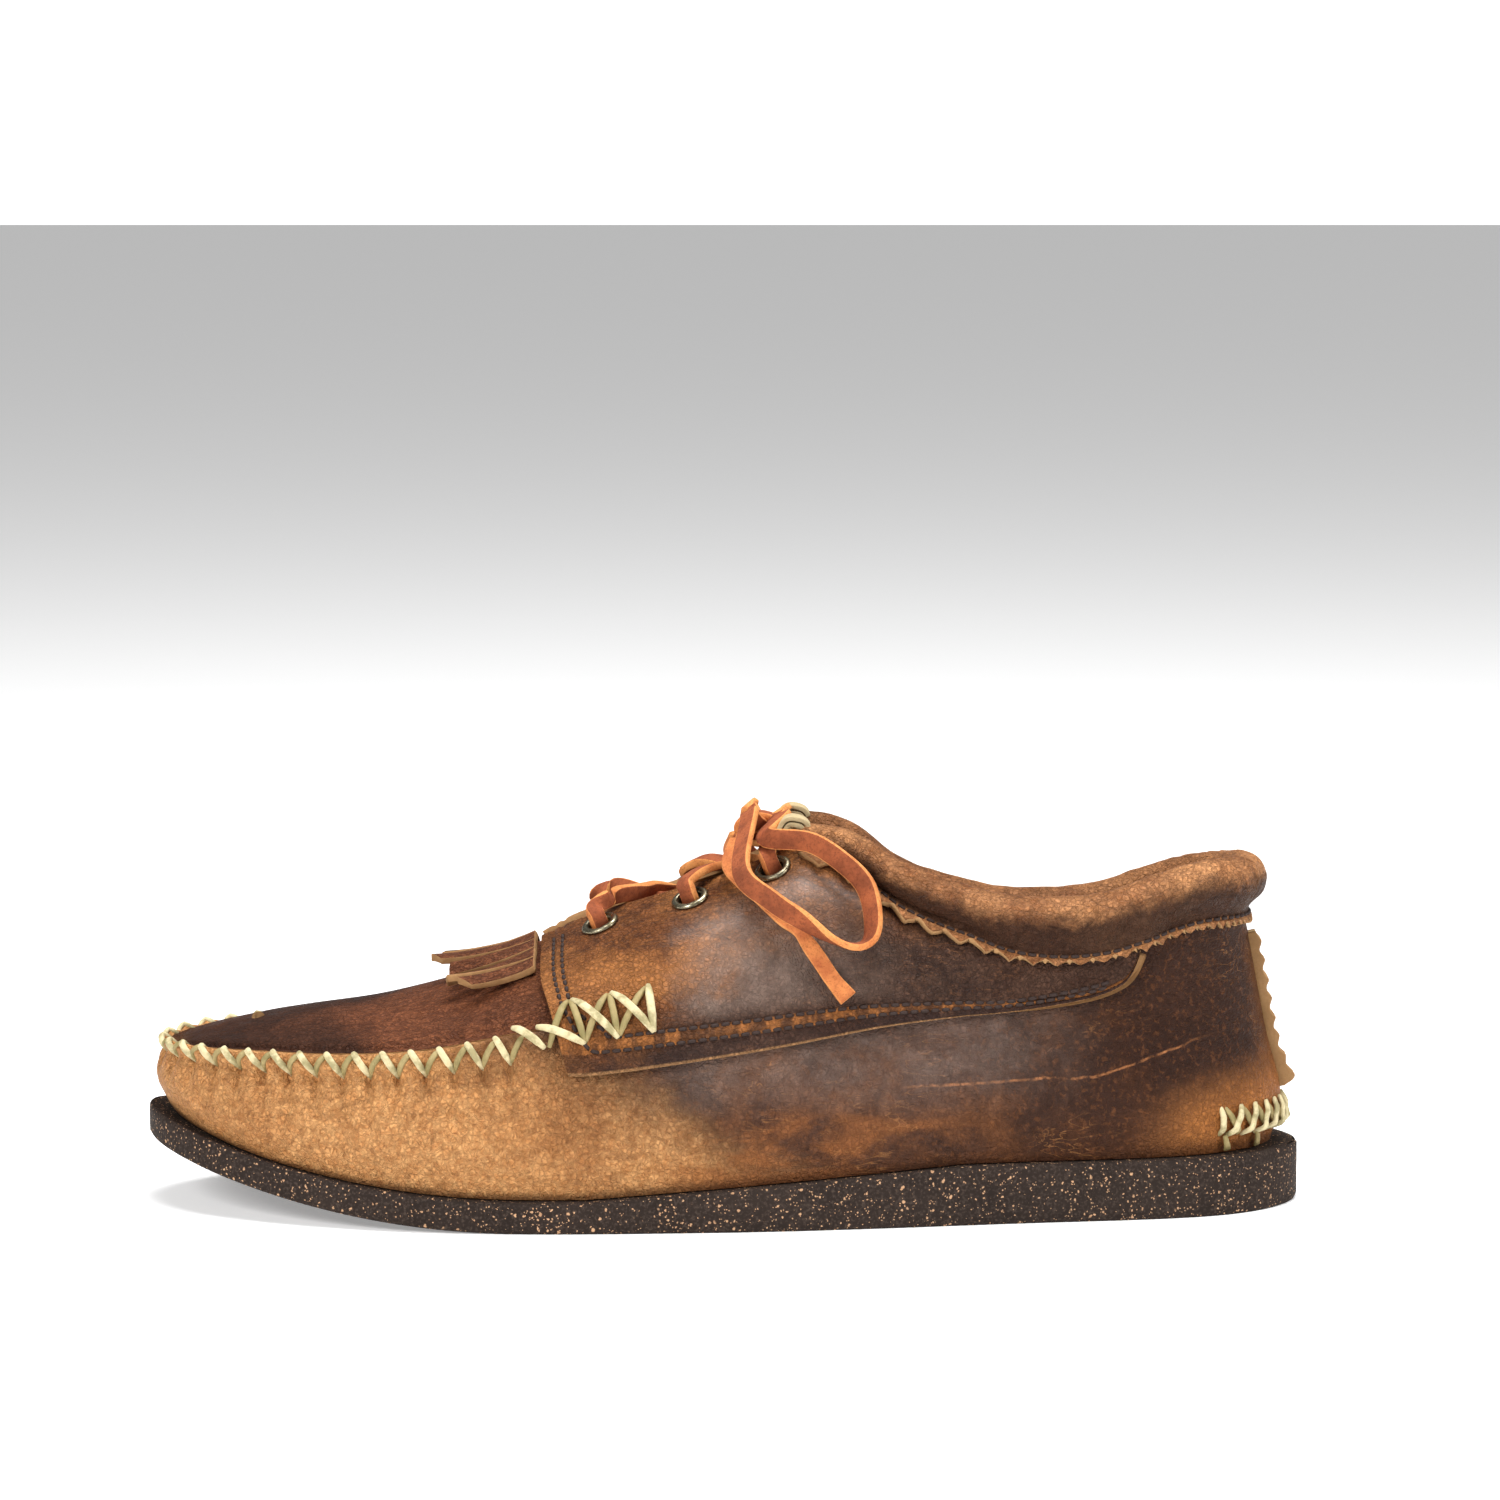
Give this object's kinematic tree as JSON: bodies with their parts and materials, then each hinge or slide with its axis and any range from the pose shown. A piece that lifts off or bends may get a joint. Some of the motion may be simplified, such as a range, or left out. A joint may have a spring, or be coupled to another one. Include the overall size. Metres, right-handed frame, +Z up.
{
  "type": "moccasin",
  "caption": "Left laced moccasin with hand-sewn apron toe, fringed flap over the instep, padded collar with a pinked edge and a cork-flecked rubber wedge sole.",
  "frame": {"origin": "centre of the shoe's bounding box in plan, at the level of the tread", "axes": "+X towards the heel (the toe points along -X), +Y towards the inner (medial) side of the foot, +Z up"},
  "size_m": [0.3, 0.104, 0.1042],
  "materials": {
    "pull_up_leather": "oiled pull-up leather, brown with tan highlights",
    "tan_leather": "oiled pull-up leather, tan towards the toe",
    "collar_leather": "soft oiled leather",
    "lining_leather": "plain tan leather",
    "lace_rawhide": "rawhide strip, rough flesh side",
    "counter_board": "stiff leather board",
    "cork_rubber": "matt rubber with cork flecks",
    "waxed_cord": "waxed linen cord",
    "machine_thread": "fine dark thread",
    "antique_brass": "aged brass",
    "foam": "soft foam"
  },
  "bodies": {
    "shoe": {"outsole": "cork_rubber", "moccasin_body": "tan_leather", "footbed": "lining_leather", "heel_counter": "counter_board", "quarter_lining": "lining_leather", "apron": "pull_up_leather", "tongue": "pull_up_leather", "quarter_lateral": "pull_up_leather", "quarter_medial": "pull_up_leather", "collar_foam": "foam", "collar_cover": "collar_leather", "back_seam_strip": "tan_leather", "apron_thread": "waxed_cord", "side_thread_lateral": "waxed_cord", "side_thread_medial": "waxed_cord", "heel_thread": "waxed_cord", "quarter_stitch_lateral": "machine_thread", "quarter_stitch_medial": "machine_thread", "collar_stitch": "machine_thread", "lace_run": "lace_rawhide", "lace_knot": "lace_rawhide", "lace_loop_lateral": "lace_rawhide", "lace_loop_medial": "lace_rawhide", "lace_end_lateral": "lace_rawhide", "lace_end_medial": "lace_rawhide", "eyelet_lateral_1": "antique_brass", "eyelet_lateral_2": "antique_brass", "eyelet_lateral_3": "antique_brass", "eyelet_medial_1": "antique_brass", "eyelet_medial_2": "antique_brass", "eyelet_medial_3": "antique_brass"},
    "kiltie": {"kiltie": "pull_up_leather"}
  },
  "joints": [
    {"name": "kiltie_lift", "type": "hinge", "parent": "shoe", "child": "kiltie", "pos_m": [-0.0472, -0.001, 0.0706], "axis": [0, 1, 0], "range_deg": [0, 35]}
  ]
}
